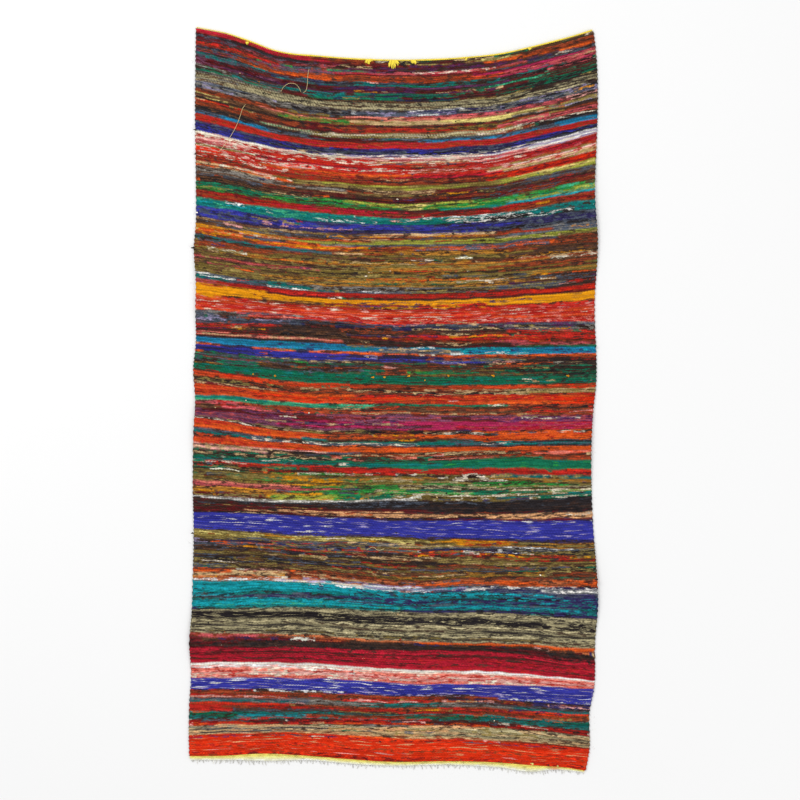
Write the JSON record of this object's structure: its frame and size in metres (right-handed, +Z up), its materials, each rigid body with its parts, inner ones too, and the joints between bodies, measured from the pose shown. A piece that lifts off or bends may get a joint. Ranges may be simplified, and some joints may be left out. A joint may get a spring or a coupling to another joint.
{
  "type": "rag rug",
  "caption": "Long hand-woven rag rug in bright bowed weft stripes, with a dipped upper end, wandering selvedges, low ripples and short-cut fringe.",
  "frame": {"origin": "under the middle of the rug's outline, on the surface that it lies on", "axes": "+Z up out of the rug's face, +Y along the warp towards the dipped upper end, +X across to the right-hand selvedge as seen from above"},
  "size_m": [0.9178, 1.6852, 0.0125],
  "materials": {
    "rag_weave": "weft-faced weave of torn fabric strips, matt",
    "heading_yarn": "soft spun yarn, matt",
    "heading_band": "plain woven yarn, matt",
    "warp_ends": "cut cotton yarn ends, matt"
  },
  "bodies": {
    "root": {"rug_body": "rag_weave", "top_heading": "heading_yarn", "bottom_heading": "heading_band", "bottom_fringe": "warp_ends"}
  },
  "joints": []
}
